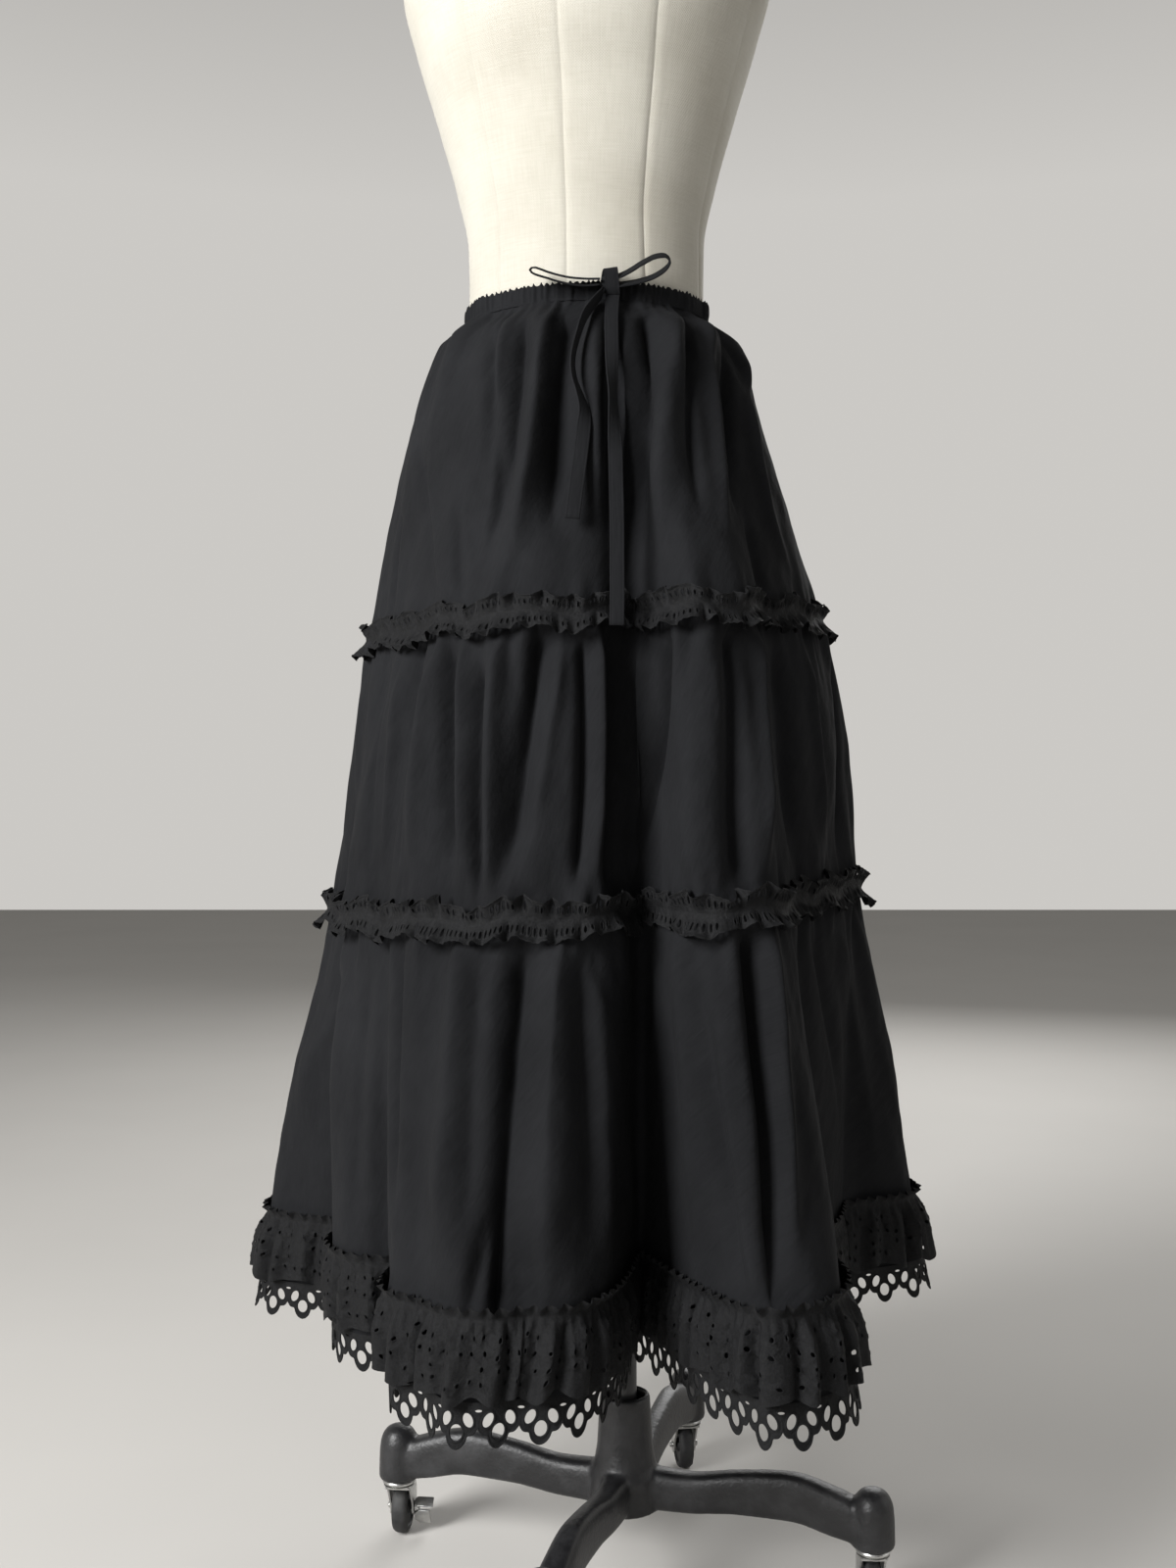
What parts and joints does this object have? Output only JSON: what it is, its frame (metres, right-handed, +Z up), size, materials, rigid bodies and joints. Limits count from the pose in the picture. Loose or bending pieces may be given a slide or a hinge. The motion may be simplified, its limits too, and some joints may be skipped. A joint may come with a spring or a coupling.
{
  "type": "tiered skirt on a dress form",
  "caption": "Long tiered skirt with a drawstring waist, seam ruffles, an eyelet flounce and a scalloped cutwork hem, on a limbless dress form with a wheeled stand.",
  "frame": {"origin": "middle of the footprint, on the floor", "axes": "+Z up, -Y towards the viewer of the picture, +X to that viewer's right"},
  "size_m": [0.6588, 0.6932, 1.6843],
  "materials": {
    "black_cotton": "soft crinkled plain-weave cotton, black",
    "black_cutwork": "stitched cutwork border, satin-stitched rims, black",
    "drawstring_cotton": "flat self-fabric drawstring, black",
    "form_cover": "ivory linen cover, seamed",
    "neck_cap": "turned cap, satin black",
    "pole_paint": "satin black paint on tube",
    "rod_steel": "dark ground steel rod",
    "cylinder_paint": "satin black gas cylinder",
    "cast_base": "satin black enamel on a casting",
    "caster_zinc": "bright zinc plate",
    "wheel_rubber": "black moulded tread"
  },
  "bodies": {
    "stand": {"stand_base": "cast_base", "lift_cylinder": "cylinder_paint"},
    "lift": {"lift_rod": "rod_steel"},
    "form": {"form_pole": "pole_paint", "form_torso": "form_cover", "form_neck_cap": "neck_cap", "waist_casing": "black_cotton", "tier_1_front": "black_cotton", "tier_1_back": "black_cotton", "seam_ruffle_1": "black_cotton", "tier_2_front": "black_cotton", "tier_2_back": "black_cotton", "seam_ruffle_2": "black_cotton", "tier_3_front": "black_cotton", "tier_3_back": "black_cotton", "eyelet_flounce": "black_cotton", "hem_lace_front": "black_cutwork", "hem_lace_back": "black_cutwork", "drawstring_knot": "drawstring_cotton", "drawstring_loop_left": "drawstring_cotton", "drawstring_loop_right": "drawstring_cotton", "drawstring_tail_left": "drawstring_cotton", "drawstring_tail_right": "drawstring_cotton"},
    "fork_1": {"caster_1": "caster_zinc"},
    "roller_1": {"wheel_1": "wheel_rubber"},
    "fork_2": {"caster_2": "caster_zinc"},
    "roller_2": {"wheel_2": "wheel_rubber"},
    "fork_3": {"caster_3": "caster_zinc"},
    "roller_3": {"wheel_3": "wheel_rubber"},
    "fork_4": {"caster_4": "caster_zinc"},
    "roller_4": {"wheel_4": "wheel_rubber"},
    "brake": {"brake_pedal": "caster_zinc"}
  },
  "joints": [
    {"name": "lift_slide", "type": "slide", "parent": "stand", "child": "lift", "axis": [0, 0, 1], "range_m": [-0.1, 0.03]},
    {"name": "form_turn", "type": "hinge", "parent": "lift", "child": "form", "pos_m": [0.02972, -0.00206, 0.42], "axis": [0, 0, 1], "continuous": true},
    {"name": "caster_1_swivel", "type": "hinge", "parent": "stand", "child": "fork_1", "pos_m": [0.10203, 0.22048, 0.06], "axis": [0, 0, 1], "continuous": true},
    {"name": "wheel_1_spin", "type": "hinge", "parent": "fork_1", "child": "roller_1", "pos_m": [0.09952, 0.23831, 0.025], "axis": [0.9903, 0.1392, 0], "continuous": true},
    {"name": "caster_2_swivel", "type": "hinge", "parent": "stand", "child": "fork_2", "pos_m": [-0.19283, 0.07025, 0.06], "axis": [0, 0, 1], "continuous": true},
    {"name": "wheel_2_spin", "type": "hinge", "parent": "fork_2", "child": "roller_2", "pos_m": [-0.19095, 0.08815, 0.025], "axis": [0.9945, -0.1045, 0], "continuous": true},
    {"name": "caster_3_swivel", "type": "hinge", "parent": "stand", "child": "fork_3", "pos_m": [-0.04259, -0.22461, 0.06], "axis": [0, 0, 1], "continuous": true},
    {"name": "wheel_3_spin", "type": "hinge", "parent": "fork_3", "child": "roller_3", "pos_m": [-0.04633, -0.207, 0.025], "axis": [0.9781, 0.2079, 0], "continuous": true},
    {"name": "caster_4_swivel", "type": "hinge", "parent": "stand", "child": "fork_4", "pos_m": [0.25227, -0.07437, 0.06], "axis": [0, 0, 1], "continuous": true},
    {"name": "wheel_4_spin", "type": "hinge", "parent": "fork_4", "child": "roller_4", "pos_m": [0.25289, -0.05638, 0.025], "axis": [0.9994, -0.0349, 0], "continuous": true},
    {"name": "brake_rock", "type": "hinge", "parent": "fork_2", "child": "brake", "pos_m": [-0.19095, 0.08815, 0.025], "axis": [0.9945, -0.1045, 0], "range_deg": [-12, 12]}
  ]
}
